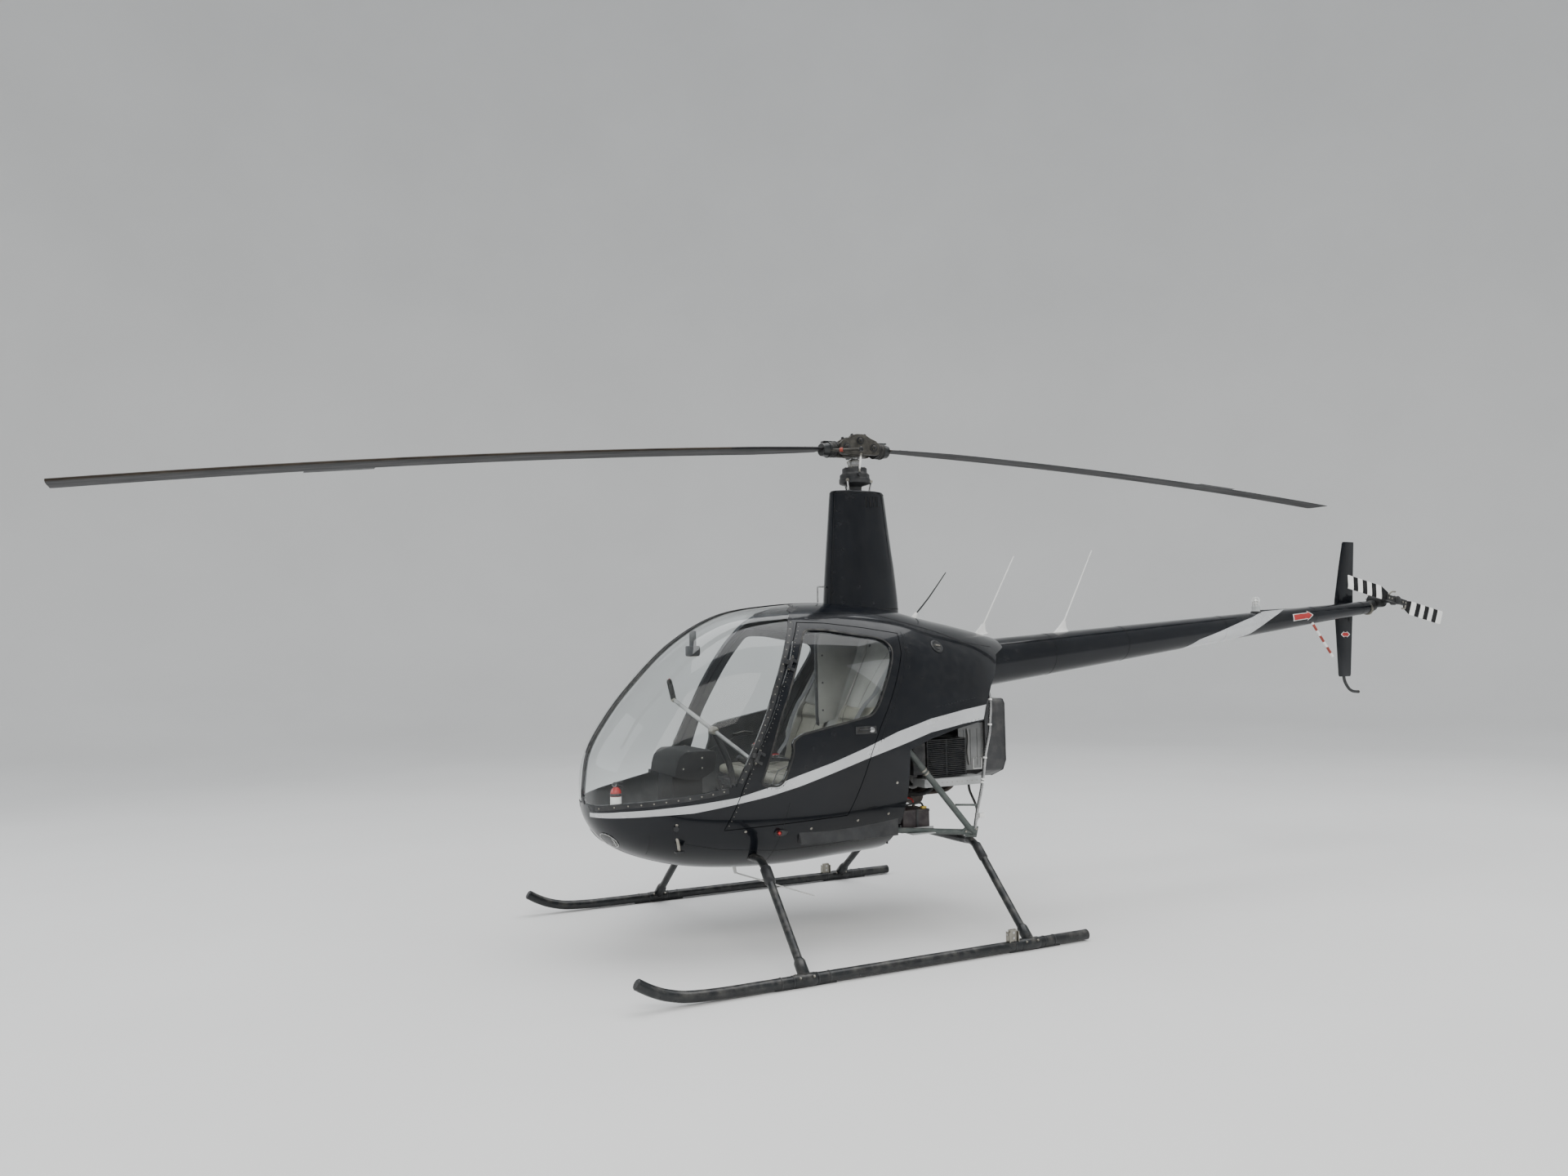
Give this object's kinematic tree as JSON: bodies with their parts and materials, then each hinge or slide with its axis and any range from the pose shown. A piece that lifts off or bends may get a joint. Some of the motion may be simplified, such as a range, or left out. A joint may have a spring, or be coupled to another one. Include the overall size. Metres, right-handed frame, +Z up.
{
  "type": "two-seat light helicopter",
  "caption": "Light two-seat piston helicopter on skids, with a teetering main rotor on a tall mast, slim tail boom, side-mounted tail rotor and front-hinged cabin doors.",
  "frame": {"origin": "on the ground under the middle of the whole machine, rotor blades fore and aft", "axes": "+X to the nose, +Y to the left side, +Z up"},
  "size_m": [8.724, 1.98, 2.6912],
  "materials": {
    "black_paint": "gloss",
    "screen": "clear acrylic",
    "satin_black": "satin",
    "seat_leather": "satin",
    "gear_tube": "satin",
    "engine_metal": "matt",
    "shroud": "satin",
    "steel": "satin",
    "blade_paint": "satin",
    "white_plastic": "gloss",
    "clear_lamp": "clear",
    "red_lamp": "gloss",
    "green_lamp": "gloss",
    "red_paint": "gloss"
  },
  "bodies": {
    "airframe": {"cabin_tub": "black_paint", "cabin_roof": "black_paint", "rear_fuselage": "black_paint", "windshield_left": "screen", "windshield_right": "screen", "windshield_strip": "satin_black", "seat_base": "satin_black", "instrument_console": "satin_black", "cyclic_bar": "satin_black", "seat_cushion_left": "seat_leather", "seat_back_left": "seat_leather", "skid_left": "gear_tube", "truss_left": "gear_tube", "seat_cushion_right": "seat_leather", "seat_back_right": "seat_leather", "skid_right": "gear_tube", "truss_right": "gear_tube", "crosstube_front": "gear_tube", "crosstube_rear": "gear_tube", "engine": "engine_metal", "cooling_shroud": "shroud", "exhaust_muffler": "steel", "battery": "satin_black", "mast_fairing": "black_paint", "swashplate_lower": "satin_black", "tail_boom": "black_paint", "tail_gearbox": "engine_metal", "fin": "black_paint", "stabiliser": "black_paint", "beacon": "clear_lamp", "antenna_rear": "white_plastic", "antenna_middle": "white_plastic", "antenna_front": "white_plastic", "antenna_belly": "white_plastic", "guard_rod": "white_plastic", "landing_light_left": "clear_lamp", "nav_light_left": "red_lamp", "landing_light_right": "clear_lamp", "nav_light_right": "green_lamp", "fire_extinguisher": "red_paint"},
    "rotor_mast": {"mast": "steel", "swashplate_upper": "satin_black", "pitch_link_a": "steel", "pitch_link_b": "steel"},
    "rotor_head": {"rotor_hub": "satin_black", "blade_grip_a": "satin_black", "blade_grip_b": "satin_black", "rotor_blade_a": "blade_paint", "rotor_blade_b": "blade_paint"},
    "tail_rotor_set": {"tail_rotor": "blade_paint"},
    "door_left_leaf": {"door_left": "black_paint", "door_glass_left": "screen"},
    "door_right_leaf": {"door_right": "black_paint", "door_glass_right": "screen"},
    "fan": {"cooling_fan": "steel"}
  },
  "joints": [
    {"name": "main_rotor_spin", "type": "hinge", "parent": "airframe", "child": "rotor_mast", "pos_m": [0.53098, 0, 2.4], "axis": [0, 0, 1], "continuous": true},
    {"name": "rotor_teeter", "type": "hinge", "parent": "rotor_mast", "child": "rotor_head", "pos_m": [0.53098, 0, 2.611], "axis": [-0.0233, 0.9997, 0], "range_deg": [-7.75, 4.25]},
    {"name": "tail_rotor_spin", "type": "hinge", "parent": "airframe", "child": "tail_rotor_set", "pos_m": [-3.83902, 0.16, 1.767], "axis": [0, 1, 0], "continuous": true},
    {"name": "door_left_hinge", "type": "hinge", "parent": "airframe", "child": "door_left_leaf", "pos_m": [1.19298, 0.488, 1.418], "axis": [0.4334, 0.1351, -0.891], "range_deg": [0, 80]},
    {"name": "door_right_hinge", "type": "hinge", "parent": "airframe", "child": "door_right_leaf", "pos_m": [1.19298, -0.488, 1.418], "axis": [-0.4334, 0.1351, 0.891], "range_deg": [0, 80]},
    {"name": "fan_spin", "type": "hinge", "parent": "airframe", "child": "fan", "pos_m": [-0.18902, 0, 0.955], "axis": [1, 0, 0], "continuous": true}
  ]
}
